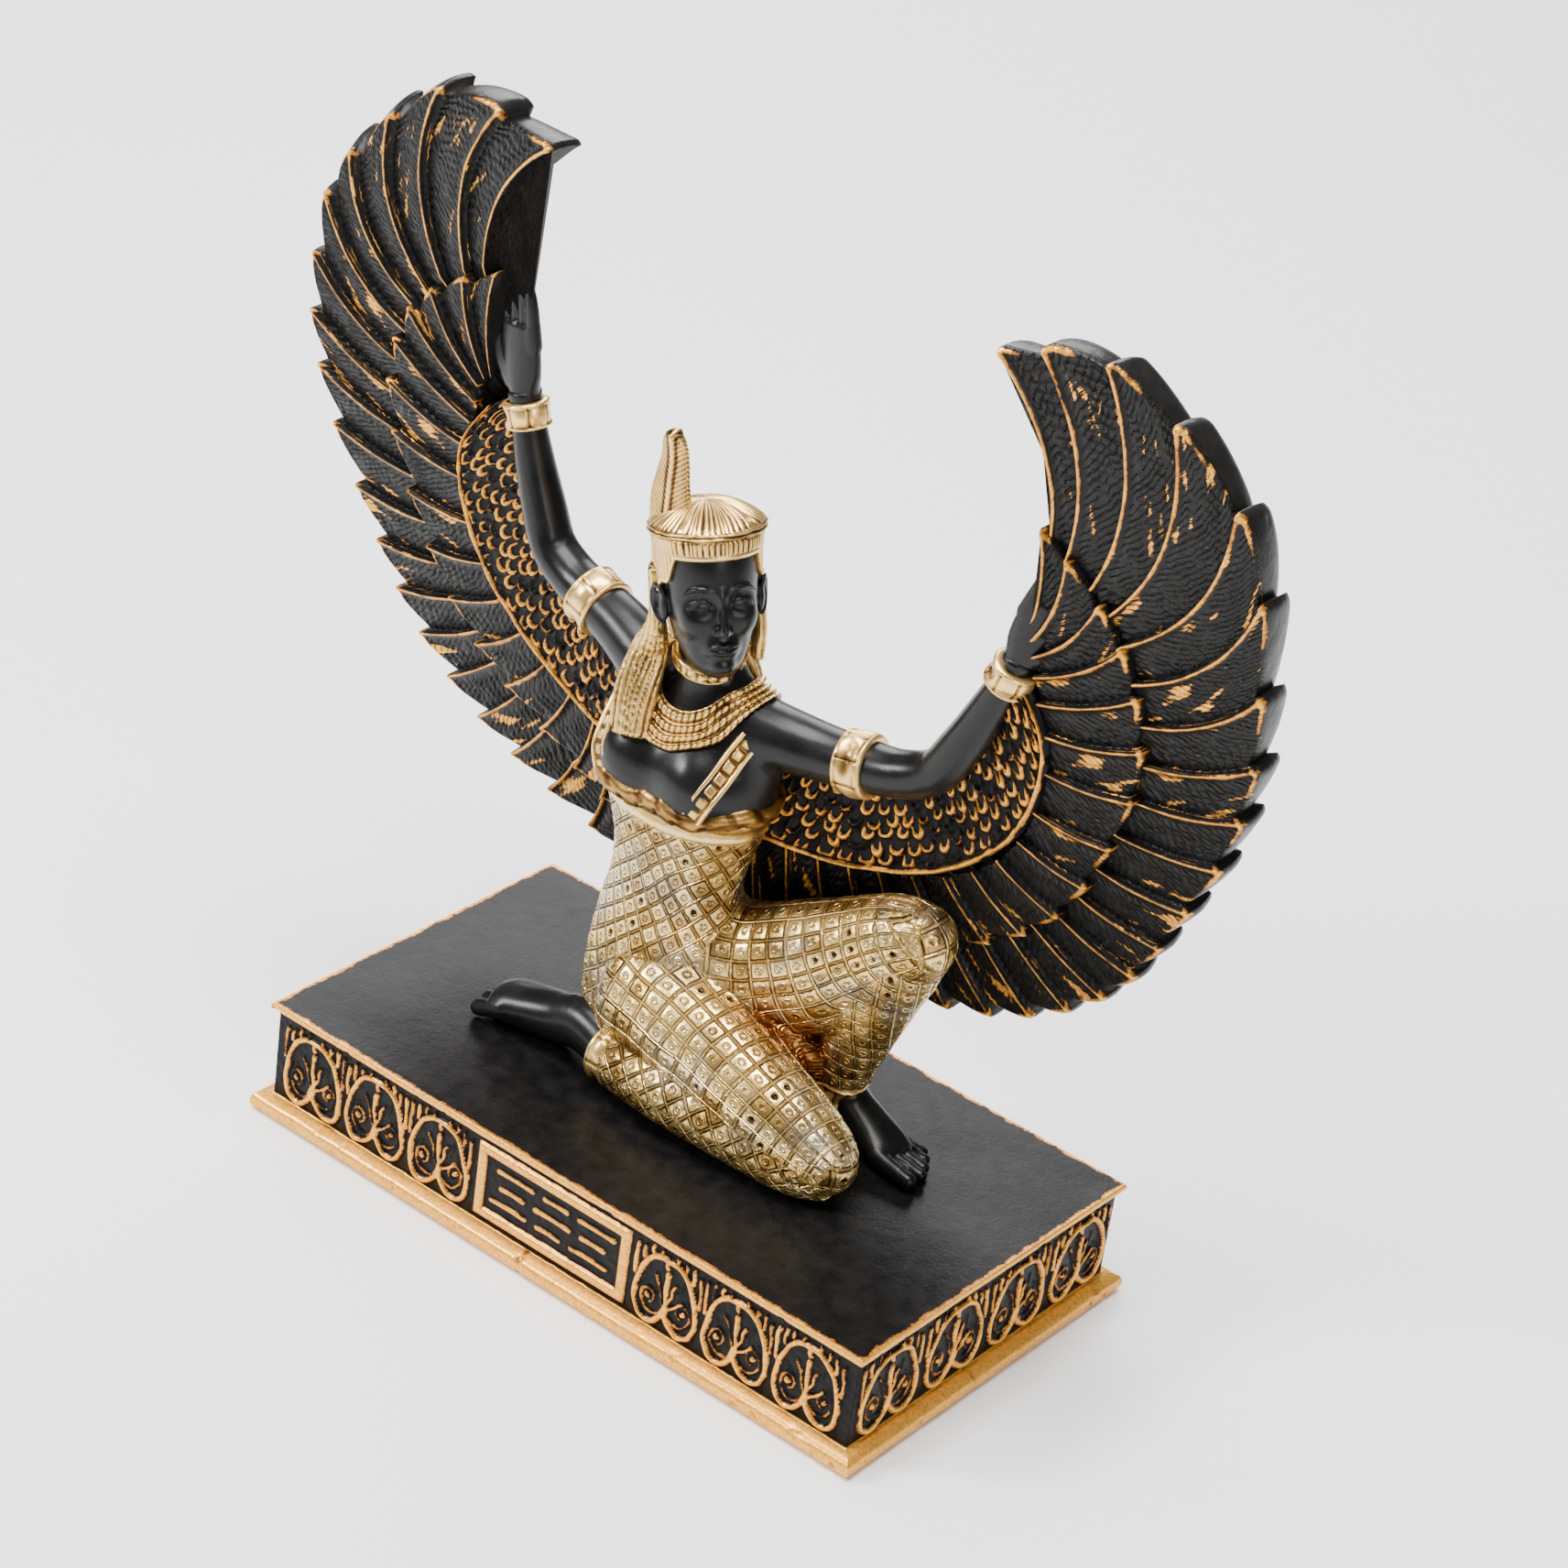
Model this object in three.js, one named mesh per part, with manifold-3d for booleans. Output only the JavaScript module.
// A kneeling winged goddess on an oblong plinth: a small cast souvenir figure, painted black and gold.
// Millimetres. X runs along the plinth, -Y is the front, Z is up, and the origin is under its centre.
import * as THREE from 'three';
import { mergeVertices } from 'three/addons/utils/BufferGeometryUtils.js';
import Module from 'manifold-3d';

const wasm = await Module();
wasm.setup();

// Plinth
const PLINTH = { length: 140, depth: 77, height: 23.7 };
const LIP = { height: 1.5, overhang: 1.3 };
const FOOT_MOULDING = { height: 3.9, projection: 1.9 };
const HEART = { width: 14.2, height: 15.8, sidePitch: 18.4, frontPitch: 15.9, backPitch: 21, relief: 0.9 };
const PANEL = { width: 36, height: 15.6, frame: 2.0 };
const CONTACT_GAP = 0.3;

// The figure stands on the plinth's top, and her back and wings share one mirror plane.
const FLOOR = PLINTH.height + CONTACT_GAP;
const MIRROR_X = -13.1;
const LEFT_WING = 1;
const RIGHT_WING = -1;

// Wings: the front face leans forward as it rises, and comes forward again beside the spine.
const WING = { rootY: 33.8, lean: 0.17, spineReach: 45, spineForward: 7, thickness: 7.4 };
const OUTER_ROW = {
  feathers: 21,
  span: 21.25,
  rise: 1.5,
  lift: 0,
  tipNotch: [0.8, 2.6],
  backNotch: 1.2,
  backStep: 0.8,
  root: { from: 0.1, reach: 0.8, clearOfArm: 0.36, clearOfArmBehind: 0.7 },
  base: [[60.5, 158], [72, 151.5], [79.5, 142], [83.6, 127], [82, 110.5], [75.5, 92.5], [67.5, 79.5],
    [55.5, 70.5], [41.6, 60], [22, 57], [0, 57]],
  tip: [[47.5, 187.3], [72.5, 193.4], [100.5, 174.8], [106.8, 140.5], [104.2, 115.2], [94, 91], [83.5, 72.5],
    [68, 58.5], [49, 49.5], [25, 44.5], [0, 43.5]],
  bow: [3.7, 5, 4.6, 2, 1, 0.8, 0.6, 0.5, 0.5, 0.5, 0.5],
};
const MIDDLE_ROW = {
  feathers: 18,
  span: 18.57,
  rise: 1.4,
  lift: 1.7,
  tipNotch: [0, 1.8],
  base: [[58, 137], [61.5, 134.5], [63.5, 127], [66.5, 116], [64, 100], [57, 88], [46.5, 79.5], [34, 74.5],
    [23, 74.5], [12, 75], [0, 76]],
  tip: [[59.5, 159], [73, 150.5], [82.5, 138], [85.5, 120], [79.5, 99], [70, 81.5], [56.5, 69.5], [40, 60],
    [26, 56], [12, 55.5], [0, 56]],
  bow: [1.5, 1.5, 1.2, 1, 0.8, 0.6, 0.5, 0.5, 0.5, 0.5, 0.5],
};
// The wings are modelled by hand, so they differ: feathers near the leading edge sit nearer the head
// on her right side, and her right wing's upper tips are shorter, on the front face more than behind.
const LEADING_SHIFT = { [LEFT_WING]: { base: 3, tip: 3 }, [RIGHT_WING]: { base: 0.5, tip: -3 }, fade: 1.7 };
const RIGHT_WING_SHORTER = { amount: 0.24, centre: 3.9, spread: 1.9, behind: 0.55 };
const COVERT = {
  border: [[59, 131], [66.3, 120], [66.8, 109], [62.5, 97], [55, 87.5], [45, 79.5], [34, 74.5], [22, 72.3],
    [10, 72.5], [-1, 74]],
  clearOfArm: 1.8,
  lift: 2.9,
  rim: 1.8,
  rows: 2,
  scalesPerRow: 8,
  scaleLength: 5.2,
  scallop: 2,
  scaleRise: 0.8,
};

// Head: where its centre is, and how far it turns to her left, bows and leans.
const HEAD = { x: -11.2, y: 1.2, z: 121.6, turn: 48, bow: 10, lean: 8 };
const V = (x, y, z) => new THREE.Vector3(x, y, z);
const radians = THREE.MathUtils.degToRad;

function toSolid(geometry) {
  geometry.deleteAttribute('normal');
  geometry.deleteAttribute('uv');
  const merged = mergeVertices(geometry, 1e-4);
  return new wasm.Manifold(new wasm.Mesh({
    numProp: 3,
    vertProperties: new Float32Array(merged.attributes.position.array),
    triVerts: new Uint32Array(merged.index.array),
  }));
}

function signedVolume(points, triangles) {
  const cone = ([a, b, c]) => points[a].dot(points[b].clone().cross(points[c])) / 6;
  return triangles.reduce((sum, triangle) => sum + cone(triangle), 0);
}

// A closed body through rings of equally many points. Each end is closed by a strip across its ring.
function loft(rings, closedLoop = false) {
  const count = rings[0].length;
  const points = rings.flat();
  const triangles = [];
  const bands = closedLoop ? rings.length : rings.length - 1;
  for (let r = 0; r < bands; r++) {
    const here = r * count;
    const next = ((r + 1) % rings.length) * count;
    for (let k = 0; k < count; k++) {
      const k2 = (k + 1) % count;
      triangles.push([here + k, here + k2, next + k2], [here + k, next + k2, next + k]);
    }
  }
  if (!closedLoop) {
    const last = (rings.length - 1) * count;
    for (let k = 0; k < (count - 1) / 2 - 0.5; k++) {
      const [a, b, c, d] = [k, k + 1, count - 2 - k, count - 1 - k];
      if (b !== c) triangles.push([a, c, b], [last + a, last + b, last + c]);
      triangles.push([a, d, c], [last + a, last + c, last + d]);
    }
  }
  const outward = signedVolume(points, triangles) > 0;
  const geometry = new THREE.BufferGeometry();
  const flat = points.flatMap((p) => p.toArray());
  geometry.setAttribute('position', new THREE.Float32BufferAttribute(flat, 3));
  geometry.setIndex(triangles.flatMap(([a, b, c]) => (outward ? [a, b, c] : [a, c, b])));
  return toSolid(geometry);
}

// A rounded limb: stations are [x, y, z, half width along "wide", half depth].
function limb(stations, sides, wide) {
  const centres = stations.map(([x, y, z]) => V(x, y, z));
  const rings = stations.map(([, , , halfWidth, halfDepth = halfWidth], i) => {
    const before = centres[Math.max(i - 1, 0)];
    const along = centres[Math.min(i + 1, centres.length - 1)].clone().sub(before).normalize();
    const deep = along.clone().cross(wide).normalize();
    const across = deep.clone().cross(along).normalize();
    return Array.from({ length: sides }, (_, k) => {
      const turn = ((k + 0.5) / sides) * 2 * Math.PI;
      return centres[i].clone().addScaledVector(across, halfWidth * Math.cos(turn))
        .addScaledVector(deep, halfDepth * Math.sin(turn));
    });
  });
  return loft(rings);
}

function ellipsoid(centre, axes, across = 8, down = 5) {
  const geometry = new THREE.SphereGeometry(1, across, down);
  const place = new THREE.Matrix4().makeBasis(...axes);
  geometry.applyMatrix4(place);
  geometry.translate(centre.x, centre.y, centre.z);
  return toSolid(geometry);
}

// A raised line along a curve, with a three-sided section that sinks into what carries it.
function ridge(points, outward, halfWidth, height, sunk, closedLoop = false) {
  const count = points.length;
  const rings = points.map((point, i) => {
    const before = points[closedLoop ? (i + count - 1) % count : Math.max(i - 1, 0)];
    const after = points[closedLoop ? (i + 1) % count : Math.min(i + 1, count - 1)];
    const out = outward(point);
    const side = after.clone().sub(before).cross(out).normalize();
    return [[halfWidth, -sunk], [0, height], [-halfWidth, -sunk]].map(
      ([s, h]) => point.clone().addScaledVector(side, s).addScaledVector(out, h));
  });
  return loft(rings, closedLoop);
}

const join = (solids) => solids.reduce((whole, solid) => whole.add(solid));

// A smooth curve through evenly spaced control points, run on straight past its end.
function curveThrough(pairs) {
  const spline = new THREE.SplineCurve(pairs.map(([a, b]) => new THREE.Vector2(a, b)));
  return (t) => {
    if (t <= 1) return spline.getPoint(Math.max(t, 0));
    const end = spline.getPoint(1);
    return end.clone().add(end.clone().sub(spline.getPoint(0.95)).multiplyScalar((t - 1) / 0.05));
  };
}

// The front face of the wings, in u (distance from the mirror plane) and height.
function wingFrontY(u, z) {
  const towardsSpine = THREE.MathUtils.smoothstep(WING.spineReach - Math.abs(u), 0, WING.spineReach);
  return WING.rootY - WING.lean * z - WING.spineForward * towardsSpine;
}

function onWing(side, point, depth) {
  return V(MIRROR_X + side * point.x, wingFrontY(point.x, point.y) + depth, point.y);
}

// How deep the upper layers reach into the slab that carries them.
const BURIED = 1.2;
// The share of its pitch that a feather's own face takes; the step to the next one takes the rest.
const FACE_SHARE = 0.95;
// The slabs run on past the mirror plane by this factor, so that the wings join behind her back.
const PAST_SPINE = 1.015;

// One row of feathers as a single shingled body: each feather is high at its leading edge and tucks
// under the next one's, and each tip stands out past the one before it. The outer row is the wing's
// full slab, from its tips back to the line of the arm; the middle row lies on it.
function featherRow(side, row) {
  const base = curveThrough(row.base);
  const tip = curveThrough(row.tip);
  const bow = curveThrough(row.bow.map((b, i) => [b, i]));
  const arm = armLine(side);
  const border = curveThrough(COVERT.border);
  // A cross-section of the row, counted in feathers from the leading edge, "across" one feather.
  const ringAt = (feather, across) => {
    const t = feather / row.span;
    const leading = Math.exp(-feather / LEADING_SHIFT.fade);
    const from = base(t).add(new THREE.Vector2(LEADING_SHIFT[side].base * leading, 0));
    const to = tip(t).add(new THREE.Vector2(LEADING_SHIFT[side].tip * leading, 0));
    const chord = to.sub(from);
    const outer = new THREE.Vector2(chord.y, -chord.x).normalize();
    const place = (r, depth, cut, notch) => onWing(side, from.clone()
      .addScaledVector(chord, r * (1 - notch / chord.length()) * (1 - cut))
      .addScaledVector(outer, 4 * bow(t).x * r * (1 - r)), depth);
    const front = -row.lift - row.rise * (1 - across);
    const notch = row.tipNotch[across === 0 ? 0 : 1];
    if (!row.root) {
      return [place(0, front, 0, 0), place(1, front, 0, notch), place(1, BURIED, 0, notch),
        place(0, BURIED, 0, 0)];
    }
    const { amount, centre, spread, behind } = RIGHT_WING_SHORTER;
    const cut = side === RIGHT_WING ? amount * Math.exp(-(((feather - centre) / spread) ** 2)) : 0;
    const along = (t - row.root.from) / row.root.reach;
    const rootAt = (clear, depth) => onWing(side, arm(along).lerp(border(along), clear), depth);
    const back = WING.thickness + row.backStep * (1 - across);
    return [
      rootAt(row.root.clearOfArm, 0),
      ...[0, 0.5, 1].map((r) => place(r, front, cut, notch)),
      ...[1, 0.5].map((r) => place(r, back, cut * behind, notch + row.backNotch)),
      rootAt(row.root.clearOfArmBehind, WING.thickness),
    ];
  };
  const rings = [];
  for (let i = 0; i < row.feathers; i++) rings.push(ringAt(i, 0), ringAt(i + FACE_SHARE, FACE_SHARE));
  if (row.root) rings.push(ringAt(row.span * PAST_SPINE, FACE_SHARE));
  return loft(rings);
}

// The covert band from under the arm to its raised border, with overlapping rows of scalloped scales.
function covertBand(side) {
  const border = curveThrough(COVERT.border);
  const arm = armLine(side);
  const stations = 2 * COVERT.scalesPerRow + 1;
  const rings = Array.from({ length: stations }, (_, i) => {
    const t = i / (stations - 1);
    const edge = border(t);
    const outward = edge.clone().sub(arm(t));
    const inner = arm(t).add(outward.clone().setLength(Math.min(COVERT.clearOfArm, 0.3 * outward.length())));
    const room = edge.clone().sub(inner);
    const inwards = room.clone().normalize().negate();
    const at = (back, depth) => onWing(side, edge.clone().addScaledVector(inwards, back), depth);
    const ring = [onWing(side, inner, -COVERT.lift - COVERT.scaleRise * COVERT.rows)];
    for (let row = COVERT.rows - 1; row >= 0; row--) {
      const scallop = (i + row) % 2 === 0 ? 0 : COVERT.scallop;
      const reach = COVERT.rim + row * COVERT.scaleLength + scallop;
      const back = Math.min(reach, room.length() * (0.6 + 0.25 * row));
      const step = COVERT.scaleRise * (row + 1);
      ring.push(at(back, -COVERT.lift - step), at(back - 0.1, -COVERT.lift - step + 1.1 * COVERT.scaleRise));
    }
    ring.push(at(COVERT.rim * 0.9, -COVERT.lift + 0.3), at(COVERT.rim * 0.45, -COVERT.lift - 0.7),
      at(0, -COVERT.lift + 0.3), at(0, BURIED), onWing(side, inner, BURIED));
    return ring;
  });
  return loft(rings);
}

// Arms lie along the wings. Stations are [u, y, z, radius], from the shoulder to the wrist.
const ARMS = {
  [LEFT_WING]: [[8, 5, 98, 6.2], [17, 6, 98, 6], [25, 7.5, 98.2, 5.4], [32, 8.4, 98.9, 5],
    [40, 9.2, 100.4, 4.6], [46.8, 9.8, 104, 4.4], [51, 10, 111, 4.2], [54.8, 10, 119.5, 3.7],
    [58.3, 9.8, 128, 3.1], [59.6, 9.6, 132, 3.2]],
  [RIGHT_WING]: [[8, 5, 98.6, 6.2], [15, 5.6, 100.8, 6], [22, 6.8, 103, 5.4], [29, 8, 104.4, 5],
    [36, 9, 106.2, 4.6], [41.8, 9.6, 109.6, 4.4], [45.3, 9.9, 116, 4.2], [48.4, 9.7, 124, 3.7],
    [51, 9.4, 132.5, 3.1], [52, 9.2, 136.5, 3.2]],
};
// The line of an arm seen from the front, from the wrist to the shoulder.
const armLine = (side) => curveThrough(ARMS[side].map(([u, , z]) => [u, z]).toReversed());
// Bands sit on an arm at one of its stations.
const ARMBAND = { at: 3, radius: 5.9, halfLength: 3.1 };
const BRACELET = { at: 8, radius: 4.3, halfLength: 2.6 };

function ringBand(before, centre, after, radius, halfLength, wide) {
  const along = after.clone().sub(before).normalize();
  const at = (step, r) => [...centre.clone().addScaledVector(along, step * halfLength).toArray(), r];
  return limb([at(-1, radius * 0.95), at(0, radius), at(1, radius * 0.95)], 8, wide);
}

function arm(side) {
  const stations = ARMS[side];
  const points = stations.map(([u, y, z]) => V(MIRROR_X + side * u, y, z));
  const body = limb(stations.map(([, , , r], i) => [...points[i].toArray(), r, r * 0.94]), 8, V(0, 1, 0));
  const bands = [ARMBAND, BRACELET].map(({ at, radius, halfLength }) => (
    ringBand(points[at - 1], points[at], points[at + 1], radius, halfLength, V(0, 1, 0))));
  return join([body, ...bands, hand(side, points[points.length - 1])]);
}

// A flat open hand, fingers together and pointing up the wing, with the thumb on the outer side.
function hand(side, wrist) {
  const up = side === LEFT_WING ? V(0.17, -0.06, 0.98) : V(-0.13, -0.06, 0.99);
  const outer = V(side, 0, 0).addScaledVector(up, -side * up.x).normalize();
  const turned = side === LEFT_WING ? 0.45 : 0.1;
  const wide = outer.clone().applyAxisAngle(up, side * turned);
  const at = (rise, sideways) => wrist.clone().addScaledVector(up, rise).addScaledVector(wide, sideways);
  const palm = limb([[-2, 0, 3, 2.8], [3, 0.2, 4, 2.2], [8, 0.4, 4.4, 1.9], [12.5, 0.4, 4.2, 1.7]].map(
    ([rise, s, w, d]) => [...at(rise, s).toArray(), w, d]), 8, wide);
  const fingers = [-3.2, -1.1, 1.1, 3.2].map((s, i) => {
    const length = [8.5, 11.5, 12.3, 10.5][i];
    const close = 0.78;
    return limb([[9.4, s, 1.3], [12 + length, s * close, 0.9]].map(
      ([rise, across, r]) => [...at(rise, across).toArray(), r, r * 1.1]), 4, wide);
  });
  const thumb = limb([[2, 2.5, 1.5], [7, 5.4, 1.5], [12, 6.1, 0.9]].map(
    ([rise, across, r]) => [...at(rise, across).toArray(), r]), 4, wide);
  return join([palm, thumb, ...fingers]);
}

// Body
const SIDEWAYS = V(1, 0, 0);
const DEPTHWAYS = V(0, 1, 0);

function torso() {
  const trunk = limb([
    [-12.6, 1.5, 29, 12, 10.5], [-13.4, 2.5, 36, 14.2, 12], [-13.8, 3.2, 44, 14.6, 11.8],
    [-13.8, 3.6, 52, 14, 10.8], [-13.3, 3.6, 60, 12.9, 10], [-13.1, 3.4, 68, 13, 9.6],
    [-13.1, 3.6, 76, 15.2, 10.8], [-13.1, 3.2, 84, 17.8, 11.4], [-13.1, 3.8, 91, 17.8, 10],
    [-13.1, 4.6, 98, 15.6, 7.6], [-13.1, 5.2, 103, 9, 5.8], [-13.1, 5.2, 106, 5.4, 5.2],
  ], 12, SIDEWAYS);
  const neck = limb([[-13.1, 5.4, 100, 5.4, 5.2], [-12.9, 4.6, 107, 4.7], [-12.5, 3, 114, 4.8]], 8,
    SIDEWAYS);
  const breasts = [-1, 1].map((s) => ellipsoid(V(MIRROR_X + s * 7.4, -4.4, 88.2),
    [V(6.6, 0, 0), V(0, 6.4, 0), V(0, 0.8, 6)], 8, 5));
  return join([trunk, neck, ...breasts]);
}

// The gold neckline under the bust, its two straps and the broad collar in stepped rows.
function neckline() {
  const edge = (turn, z, out) => (
    V(MIRROR_X + (16.6 + out) * Math.sin(turn), 3.2 - (11 + out) * Math.cos(turn), z));
  const around = Array.from({ length: 14 }, (_, i) => (i / 14) * 2 * Math.PI);
  const hem = loft(around.map((turn) => {
    const z = 82 - 1.5 * Math.cos(turn);
    return [[-2, -2.5], [-2, 0.6], [2, 1.6], [2, -2.5]].map(([rise, out]) => edge(turn, z + rise, out));
  }), true);
  const straps = [-1, 1].map((s) => {
    const line = [[9.7, 81, -6.4], [12, 87, -8.4], [12.8, 91.6, -5.2], [13.2, 95.4, -2.2]].map(
      ([u, z, y]) => V(MIRROR_X + s * u, y, z));
    const outward = (p) => p.clone().sub(V(MIRROR_X + s * 5, 6, p.z - 6)).normalize();
    return ridge(line, outward, 2, 1.1, 2.2);
  });
  return join([hem, ...straps]);
}

const COLLAR = {
  centreY: 5,
  rows: 3,
  inner: { halfX: 6.4, halfY: 6, front: 101.2, side: 103.4 },
  outer: { halfX: 16.4, halfY: 12.4, front: 94, side: 101 },
  step: 0.7,
};

function collar() {
  const { inner, outer, rows, centreY, step } = COLLAR;
  const mix = THREE.MathUtils.lerp;
  const segments = 14;
  const place = (turn, q, rise) => {
    const front = Math.max(0, Math.cos(turn)) ** 0.5;
    const z = mix(mix(inner.side, inner.front, front), mix(outer.side, outer.front, front), q);
    return V(MIRROR_X + mix(inner.halfX, outer.halfX, q) * Math.sin(turn),
      centreY - mix(inner.halfY, outer.halfY, q) * Math.cos(turn) - rise * front * 0.7, z + rise);
  };
  return loft(Array.from({ length: segments }, (_, i) => {
    const turn = (i / segments) * 2 * Math.PI;
    const ring = [];
    for (let row = 0; row < rows; row++) {
      ring.push(place(turn, row / rows, step * 0.4), place(turn, (row + 0.9) / rows, step));
    }
    ring.push(place(turn, 1, -2.2), place(turn, 0.1, -2.6));
    return ring;
  }), true);
}

// The legs under the dress, which sags between the raised thigh and calf, with bare feet and anklets.
function legs() {
  const part = (stations) => limb(stations, 8, DEPTHWAYS);
  const kneelingThigh = part([[-12, -1, 40.5, 11.6, 11.6], [-2, -2.8, 39.6, 11.2, 11],
    [9, -4.6, 37.6, 10, 10], [19, -6, 35.4, 9, 8.9], [29, -6.7, 32.4, 8, 7.8], [36, -7, 30.6, 6, 6],
    [39.2, -7, 29.4, 2.8, 3]]);
  const kneelingShin = part([[37.4, -7.6, FLOOR + 3.8, 3.4, 3.4], [31, -9.4, FLOOR + 5, 5.8, 5.2],
    [19, -9.9, FLOOR + 5.8, 6.5, 6], [5, -10.2, FLOOR + 6.2, 6.6, 6.4], [-7, -9.8, FLOOR + 5.8, 5.8, 5.8],
    [-15, -9, FLOOR + 5.2, 4.5, 4.7]]);
  const kneelingFoot = part([[-14, -8.8, 29.3, 4.4, 4.4], [-21, -7.6, 30.6, 4.4, 5.4],
    [-27, -7.2, 29.2, 4.9, 4.9], [-33, -7.4, 28.2, 5.3, 4.4], [-37.5, -7.8, 27.6, 5.6, 4],
    [-40, -8.2, 27, 5.4, 3.4]]);
  const raisedThigh = part([[-12, 6.5, 44, 11.6, 12], [-2, 7.6, 47.5, 10.6, 12], [8, 9, 50.8, 9.8, 12.2],
    [17, 10, 55.8, 9.2, 12], [25, 10.8, 62, 8.6, 10.4], [31.5, 11.2, 67.4, 8, 8.6],
    [37.4, 11.2, 70.8, 5.8, 6], [40.4, 11.2, 71.8, 2.2, 2.6]]);
  const raisedShin = part([[33.4, 11.4, 73, 5.6, 5.4], [32.4, 11.3, 66, 7.6, 7.6],
    [28.6, 11.2, 57.6, 7.6, 8], [26, 11.2, 50, 7, 7.6], [24.6, 11.4, 43, 5.6, 6.4],
    [23, 11.8, 36.6, 4.9, 5.4], [22.6, 12.2, 30, 4, 4.2]]);
  const raisedFoot = part([[16.5, 13.4, FLOOR + 2.6, 2.6, 2.6], [19.5, 13.2, FLOOR + 4, 4, 4],
    [25, 12.5, FLOOR + 4.6, 4.2, 4.6], [32, 11.2, FLOOR + 3.4, 4.7, 3.4], [37, 10.1, FLOOR + 2.4, 5.2, 2.4],
    [40, 9.6, FLOOR + 1.8, 5, 1.8]]);
  const toes = [
    [[38.5, 6.4, FLOOR + 1.8, 1.9], [44.6, 5.6, FLOOR + 1.6, 1.5]],
    [[38.5, 11, FLOOR + 1.5, 3.8, 1.5], [43, 10.3, FLOOR + 1.3, 3.4, 1.1]],
    [[-39, -11, 26.6, 1.8], [-42, -11.2, 26.2, 1.4]],
    [[-39, -6.6, 27.2, 3.6, 2.4], [-41.6, -6.6, 26.8, 3.2, 1.8]],
  ].map((stations) => limb(stations, 4, DEPTHWAYS));
  const anklets = [
    ringBand(V(-9, -9.4, 29.6), V(-12.4, -9.1, 29.4), V(-16, -8.6, 29.4), 5.6, 2.3, DEPTHWAYS),
    ringBand(V(24, 11.7, 37), V(22.8, 12, 32.4), V(22.4, 12.2, 28), 5, 2.4, DEPTHWAYS),
  ];
  return join([kneelingThigh, kneelingShin, kneelingFoot, raisedThigh, raisedShin, raisedFoot, ...toes,
    ...anklets]);
}

// Head: a frame of her own front, side and up directions.
function headFrame() {
  const turn = radians(HEAD.turn);
  const level = V(Math.sin(turn), -Math.cos(turn), 0);
  const right = V(-Math.cos(turn), -Math.sin(turn), 0);
  const bow = radians(HEAD.bow);
  const front = level.clone().multiplyScalar(Math.cos(bow)).addScaledVector(V(0, 0, 1), -Math.sin(bow));
  const up = V(0, 0, Math.cos(bow)).addScaledVector(level, Math.sin(bow));
  const lean = radians(HEAD.lean);
  return {
    front,
    up: up.clone().multiplyScalar(Math.cos(lean)).addScaledVector(right, Math.sin(lean)),
    right: right.clone().multiplyScalar(Math.cos(lean)).addScaledVector(up, -Math.sin(lean)),
  };
}

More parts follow.
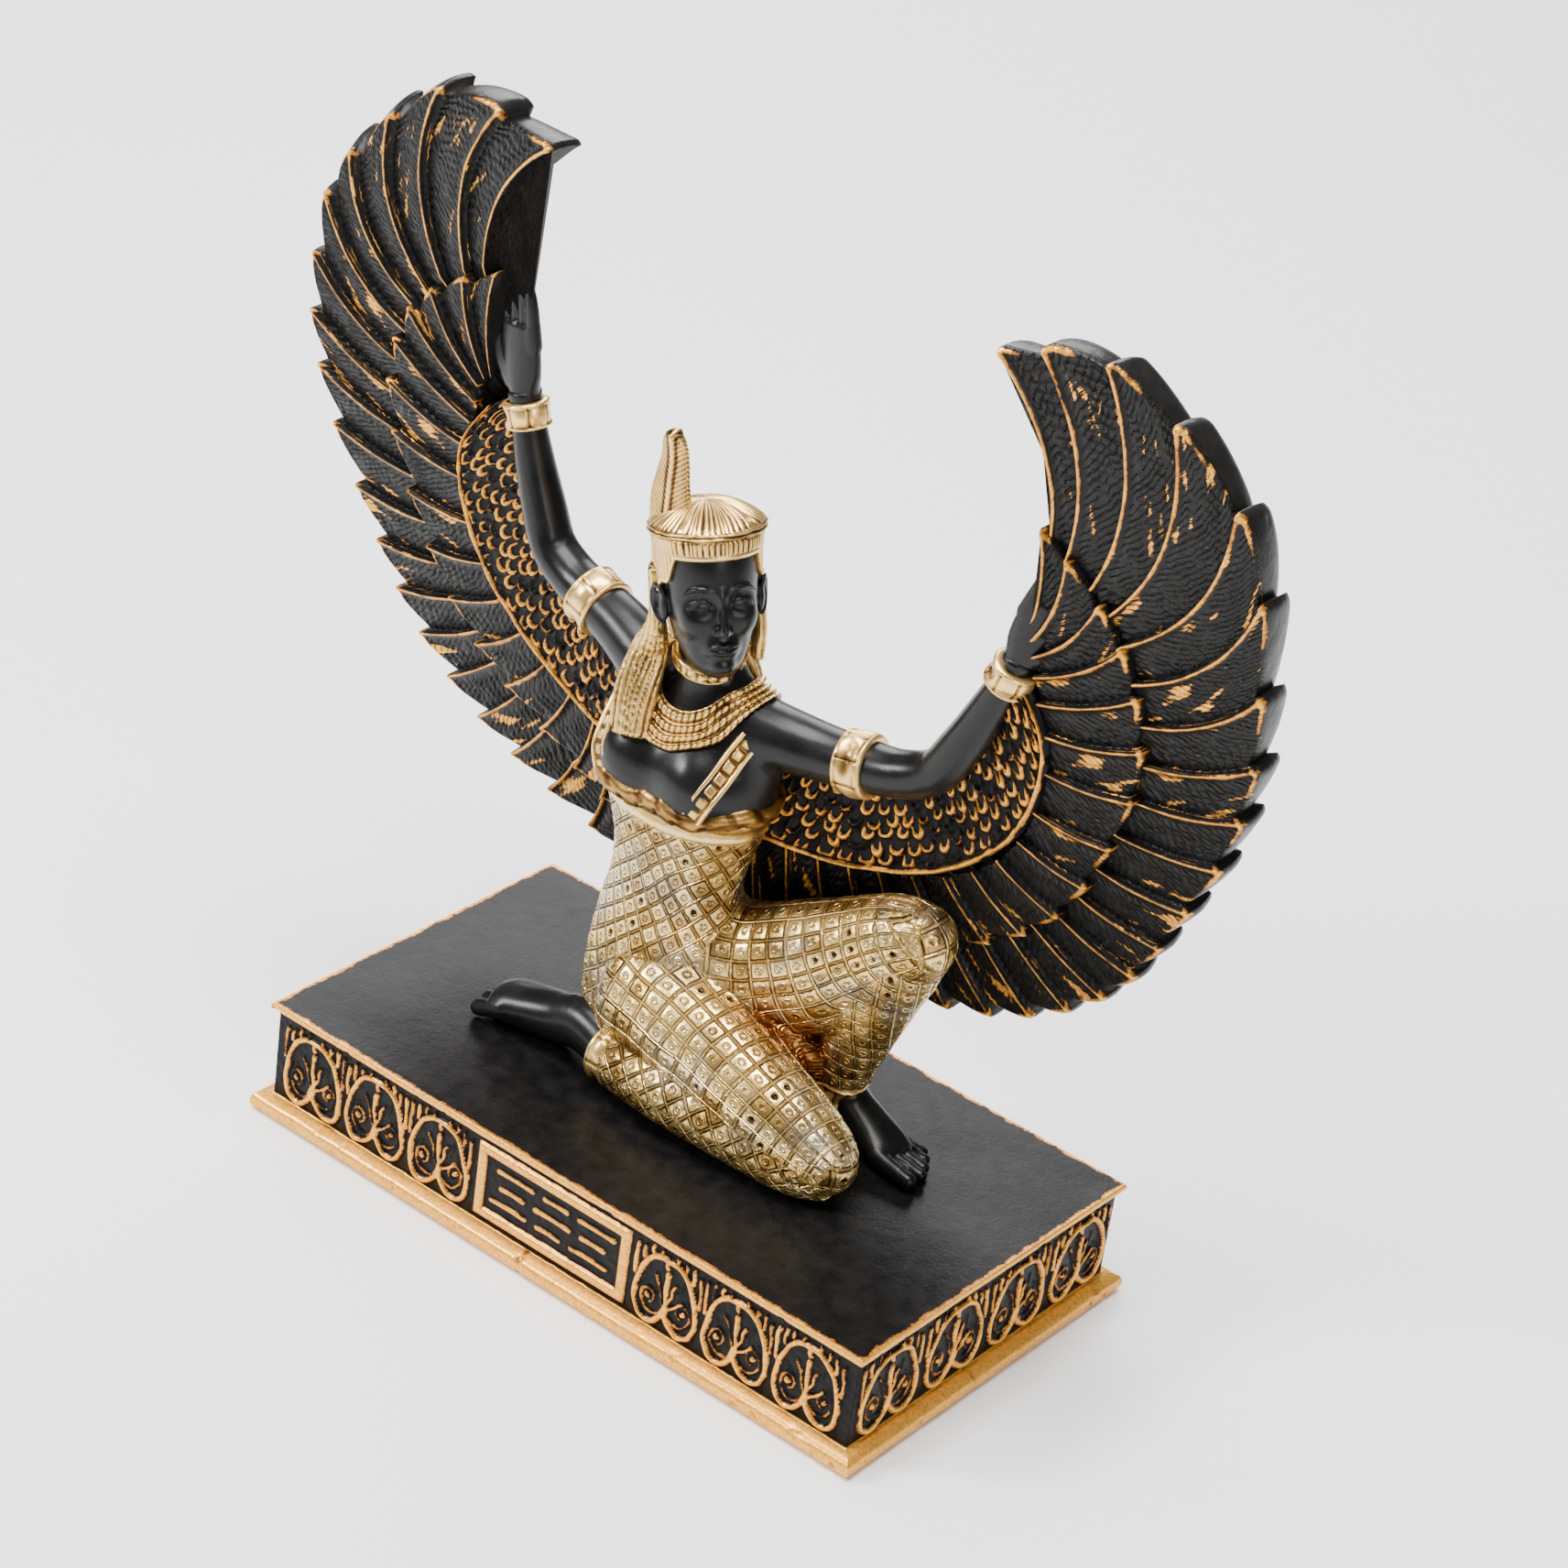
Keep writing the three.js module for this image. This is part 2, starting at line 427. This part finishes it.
function head() {
  const { front, up, right } = headFrame();
  const at = (f, r, h) => V(HEAD.x, HEAD.y, HEAD.z).addScaledVector(front, f).addScaledVector(right, r)
    .addScaledVector(up, h);
  const shape = (stations, sides) => limb(stations.map(([h, f, w, d]) => [...at(f, 0, h).toArray(), w, d]),
    sides, right);
  const knob = (centre, [w, h, d], around, along) => ellipsoid(centre, [up.clone().multiplyScalar(h),
    right.clone().multiplyScalar(w), front.clone().multiplyScalar(d)], around, along);
  const skull = shape([[-15.6, 5.2, 2.2, 1.8], [-14, 4.6, 4, 3.8], [-10.5, 2.6, 6, 6.6], [-6, 1, 7.5, 8.6],
    [-1, 0.3, 8.3, 9.6], [4, 0, 8.6, 10], [9, -0.4, 8.2, 9.6]], 10);
  const nose = shape([[2.4, 9, 0.9, 0.7], [-1.5, 9.9, 1, 0.9], [-4.6, 10.5, 1.4, 1.3],
    [-5.6, 9.8, 1.5, 0.7]], 6);
  const lips = [[-8.2, 9, 0.7], [-9.5, 8.8, 0.8]].map(([h, f, thick]) => (
    knob(at(f, 0, h), [2.5, thick, 0.9], 4, 4)));
  const eyes = [-1, 1].map((s) => knob(at(7.8, s * 3.6, 0.2), [2.1, 0.9, 0.9], 4, 4));
  const ears = [-1, 1].map((s) => knob(at(-0.5, s * 8.6, -1), [1.2, 3, 1.9], 6, 3));
  const cap = shape([[4.6, -0.6, 9.5, 10.9], [7, -0.7, 9.5, 10.9], [7.2, -0.7, 10.3, 11.6],
    [9.4, -0.8, 10.2, 11.4], [9.6, -0.8, 9.5, 10.6], [13, -1, 8, 9.2], [15.6, -1.2, 5.6, 6.8],
    [16.8, -1.3, 2.4, 3.2]], 10);
  const hairBehind = shape([[6, -3.4, 9.6, 8], [-4, -5, 9.4, 6.6], [-14, -7, 9.8, 6.4]], 8);
  const hairDown = limb([[-16.5, 9.5, 112, 9.5, 5], [-14.5, 11, 104, 11, 4], [-13.4, 11.6, 96, 12, 3.4],
    [-13.2, 11.8, 90, 11.6, 2.6]], 8, SIDEWAYS);
  const rightLappet = limb([[-17.2, 3.4, 122, 2.6, 4.8], [-18.8, 0, 115, 2.6, 4.8],
    [-20, -3.2, 108, 2.4, 4.6], [-20.6, -6.6, 101, 2, 4.4], [-19.7, -8.4, 93, 1.4, 4.1]], 6,
  V(0.45, -0.9, 0));
  const leftLappet = limb([[-9.4, 6, 122, 2.2, 4.2], [-9.2, 7, 114, 2.2, 4.2], [-7, 7.6, 108, 2.4, 4.2],
    [-4.4, 8, 104, 2.2, 3.8]], 6, V(0.6, 0.8, 0));
  const choker = limb([[-12.9, 3.9, 107.2, 5.7], [-12.8, 3.6, 108.2, 6.1], [-12.7, 3.3, 109.8, 6.1],
    [-12.6, 3, 110.8, 5.7]], 8, SIDEWAYS);
  const nape = ellipsoid(V(-12.8, 8, 107), [V(6.4, 0, 0), V(0, 4, 0), V(0, 0, 5)], 6, 4);
  return join([skull, nose, ...lips, ...eyes, ...ears, cap, hairBehind, hairDown, nape, rightLappet,
    leftLappet, choker, uprightFeather(at)]);
}

// The single tall feather at the back right of the crown, with a curled tip.
function uprightFeather(at) {
  const foot = at(-5.8, 8, 10);
  const outline = [[0, 2.4, 0], [3, 3.4, 0.3], [6.5, 3.5, 0.3], [10, 2.9, 0.2], [14, 2.6, 0.2],
    [17, 2.4, -0.4], [18.6, 1.4, -1]];
  const thickness = 1.4;
  return limb(outline.map(([rise, half, back]) => (
    [...foot.clone().add(V(0, back, rise)).toArray(), half, thickness])), 6, SIDEWAYS);
}

// Plinth relief. Each motif is drawn on the frieze plane in a (along) and z, and faces "out".
function friezeSide(half, out, along, run) {
  const face = half - LIP.overhang;
  const at = (a, z, h) => out.clone().multiplyScalar(face + h).addScaledVector(along, a).setZ(z);
  return run.map((piece) => piece(at, out));
}

const FRIEZE_LOW = FOOT_MOULDING.height;
const FRIEZE_HIGH = PLINTH.height - LIP.height;
const FRIEZE_MID = (FRIEZE_LOW + FRIEZE_HIGH) / 2;

// An upside-down heart: one point above and two lobes below, with a curled line inside.
function heart(centre, width, detailed) {
  return (at, out) => {
    const half = width / 2;
    const tall = HEART.height / 2;
    const outline = [[0, 1], [0.64, 0.6], [0.97, -0.3], [0.55, -1], [0, -0.56]];
    const left = outline.slice(1, 4).toReversed().map(([a, z]) => [-a, z]);
    const loop = [...outline, ...left].map(([a, z]) => at(centre + a * half, FRIEZE_MID + z * tall, 0));
    const ring = ridge(loop, () => out, 0.62, HEART.relief, 0.6, true);
    if (!detailed) return ring;
    const curls = [[-0.46, -0.6], [-0.5, -0.12], [0, 0.3], [0.5, -0.12], [0.46, -0.6]].map(
      ([a, z]) => at(centre + a * half, FRIEZE_MID + z * tall, 0));
    return ring.add(ridge(curls, () => out, 0.5, HEART.relief * 0.8, 0.5));
  };
}

// A framed panel whose field carries three rows of short strokes.
function panel() {
  return (at, out) => {
    const a = PANEL.width / 2 - PANEL.frame / 2;
    const z = PANEL.height / 2 - PANEL.frame / 2;
    const corners = [[-a, -z], [a, -z], [a, z], [-a, z]].map(([x, h]) => at(x, FRIEZE_MID + h, 0));
    const frame = ridge(corners, () => out, PANEL.frame / 2, 0.9, 0.6, true);
    const stroke = (row, i) => {
      const half = 2.6 + 1.4 * ((i + row + 9) % 2);
      const middle = i * 9.6 + row * 0.6;
      const ends = [middle - half, middle + half].map((x) => at(x, FRIEZE_MID + row * 3.4, 0));
      return ridge(ends, () => out, 0.6, 0.5, 0.5);
    };
    const strokes = [-1, 0, 1].flatMap((row) => [-1, 0, 1].map((i) => stroke(row, i)));
    return join([frame, ...strokes]);
  };
}

function plinthBlock() {
  const { length, depth, height } = PLINTH;
  const levels = [
    [0, FOOT_MOULDING.projection - 1.1], [0.8, FOOT_MOULDING.projection - 0.2],
    [2, FOOT_MOULDING.projection], [3.2, FOOT_MOULDING.projection - 0.5], [FRIEZE_LOW, -LIP.overhang],
    [FRIEZE_HIGH, -LIP.overhang], [FRIEZE_HIGH + 0.2, -0.2], [FRIEZE_HIGH + 0.8, 0], [height, -0.3],
  ];
  const cornerRound = 0.8;
  return loft(levels.map(([z, out]) => {
    const x = length / 2 + out;
    const y = depth / 2 + out;
    const c = cornerRound;
    const corners = [[-x + c, -y], [x - c, -y], [x, -y + c], [x, y - c], [x - c, y], [-x + c, y],
      [-x, y - c], [-x, -y + c]];
    return corners.map(([px, py]) => V(px, py, z));
  }));
}

function plinth() {
  const frontHearts = [-1, 1].flatMap((s) => [0.5, 1.5, 2.5].map((i) => (
    heart(s * (PANEL.width / 2 + 1.2 + HEART.frontPitch * i), HEART.width, true))));
  const endHearts = (detailed) => [-1.5, -0.5, 0.5, 1.5].map((k) => (
    heart(k * HEART.sidePitch, HEART.width + 1.6, detailed)));
  const backRow = [-2.5, -1.5, -0.5, 0.5, 1.5, 2.5].map((k) => (
    heart(k * HEART.backPitch, HEART.width, false)));
  const halfX = PLINTH.length / 2;
  const halfY = PLINTH.depth / 2;
  return join([
    plinthBlock(),
    ...friezeSide(halfY, V(0, -1, 0), V(1, 0, 0), [...frontHearts, panel()]),
    ...friezeSide(halfX, V(1, 0, 0), V(0, 1, 0), endHearts(true)),
    ...friezeSide(halfX, V(-1, 0, 0), V(0, -1, 0), endHearts(false)),
    ...friezeSide(halfY, V(0, 1, 0), V(-1, 0, 0), backRow),
  ]);
}

function goddess() {
  const wings = [LEFT_WING, RIGHT_WING].flatMap((side) => [
    featherRow(side, OUTER_ROW), featherRow(side, MIDDLE_ROW), covertBand(side), arm(side),
  ]);
  const whole = join([torso(), legs(), neckline(), collar(), head(), ...wings]);
  const below = new THREE.BoxGeometry(2 * PLINTH.length, 2 * PLINTH.depth, 2 * PLINTH.height);
  below.translate(0, 0, FLOOR - PLINTH.height);
  return whole.subtract(toSolid(below));
}

const MATERIALS = {
  plinth: new THREE.MeshStandardMaterial({ color: 0x1a1919, roughness: 0.55, metalness: 0.1 }),
  winged_goddess: new THREE.MeshStandardMaterial({ color: 0xc9a868, roughness: 0.4, metalness: 0.6 }),
};

function named(name, solid) {
  const { vertProperties, triVerts } = solid.getMesh();
  const geometry = new THREE.BufferGeometry();
  geometry.setAttribute('position', new THREE.Float32BufferAttribute(vertProperties, 3));
  geometry.setIndex(new THREE.Uint32BufferAttribute(triVerts, 1));
  const mesh = new THREE.Mesh(geometry, MATERIALS[name]);
  mesh.name = name;
  return mesh;
}

const group = new THREE.Group();
group.add(named('plinth', plinth()));
group.add(named('winged_goddess', goddess()));

export default group;
